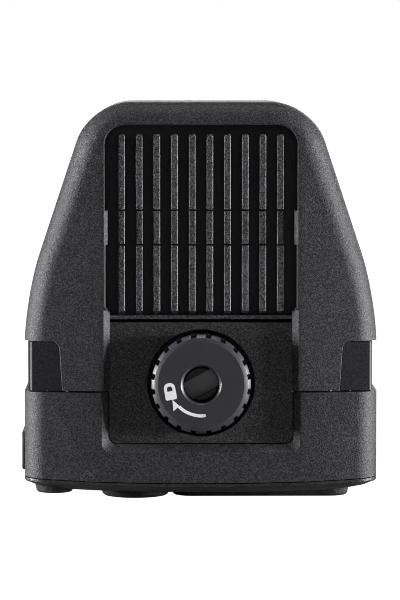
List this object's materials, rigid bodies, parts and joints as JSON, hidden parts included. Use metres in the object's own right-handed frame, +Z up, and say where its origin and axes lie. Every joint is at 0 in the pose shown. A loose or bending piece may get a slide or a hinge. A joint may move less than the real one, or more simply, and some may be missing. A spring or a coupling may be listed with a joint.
{
  "type": "wireless transmitter module",
  "caption": "Compact plug-in wireless transmitter with a tapered charcoal housing, a ribbed front, a coin-slotted lock wheel, and a connector and captive screw at the rear.",
  "frame": {"origin": "middle of the footprint, on the surface the surrounds under the bottom panel stand on", "axes": "+Z up; -Y is the ribbed front; +Y is the mating face that meets the host; +X is the viewer's right"},
  "size_m": [0.0422, 0.0306, 0.0473],
  "materials": {
    "housing_plastic": "fine-grained charcoal",
    "rib_metal": "fine-grained charcoal paint",
    "window_plastic": "satin near-black",
    "wheel_plastic": "smooth satin with white marks",
    "rubber": "smooth black",
    "screw_steel": "black-plated",
    "bright_metal": "nickel-plated",
    "contact_gold": "gold-plated",
    "washer_nylon": "natural nylon",
    "window_gloss": "polished smoked",
    "display_white": "pale display",
    "insert_black": "moulded black",
    "switch_black": "moulded black",
    "board_green": "solder mask green",
    "ribbon_amber": "amber film",
    "pad_grey": "soft grey gap filler",
    "frame_plastic": "moulded dark grey",
    "cell_blue": "film-wrapped"
  },
  "bodies": {
    "module": {"upper_shell": "housing_plastic", "lower_shell": "housing_plastic", "rear_cover": "housing_plastic", "bottom_panel": "housing_plastic", "wheel_plate": "housing_plastic", "ribbed_panel": "rib_metal", "side_window_left": "window_plastic", "side_window_right": "window_plastic", "cover_screw_top_left": "screw_steel", "cover_screw_top_right": "screw_steel", "cover_screw_low_left": "screw_steel", "cover_screw_low_right": "screw_steel", "cover_tether": "rubber", "connector_gasket": "rubber", "screw_bushing": "bright_metal", "service_socket": "bright_metal", "shield_can": "bright_metal", "connector_shell": "bright_metal", "guide_pin_left": "bright_metal", "guide_pin_right": "bright_metal", "power_switch": "switch_black", "mode_switch": "switch_black", "radio_chip": "switch_black", "display_window": "window_gloss", "display_module": "display_white", "panel_board": "board_green", "main_board": "board_green", "rear_board": "board_green", "board_ribbon": "ribbon_amber", "antenna_left": "ribbon_amber", "antenna_right": "ribbon_amber", "thermal_pad": "pad_grey", "inner_frame": "frame_plastic", "battery_cell": "cell_blue", "connector_insert": "insert_black", "contact_row_upper": "contact_gold", "contact_row_lower": "contact_gold"},
    "lock_wheel": {"lock_wheel": "wheel_plastic", "lock_screw": "screw_steel", "screw_clip": "screw_steel", "wheel_washer": "washer_nylon"},
    "power_button": {"power_button": "rubber"},
    "mode_button": {"mode_button": "rubber"},
    "socket_cover": {"socket_cover": "rubber"}
  },
  "joints": [
    {"name": "lock_wheel_turn", "type": "hinge", "parent": "module", "child": "lock_wheel", "pos_m": [0, -0.01, 0.01415], "axis": [0, 1, 0], "continuous": true},
    {"name": "power_button_press", "type": "slide", "parent": "module", "child": "power_button", "axis": [0, 0, 1], "range_m": [0, 0.0005], "stiffness_N_per_m": 1500, "springref_m": -0.0005},
    {"name": "mode_button_press", "type": "slide", "parent": "module", "child": "mode_button", "axis": [0, 0, 1], "range_m": [0, 0.0005], "stiffness_N_per_m": 1500, "springref_m": -0.0005},
    {"name": "socket_cover_swing", "type": "hinge", "parent": "module", "child": "socket_cover", "pos_m": [-0.0213, 0.002, 0.0057], "axis": [0, 0, -1], "range_deg": [0, 110]}
  ]
}
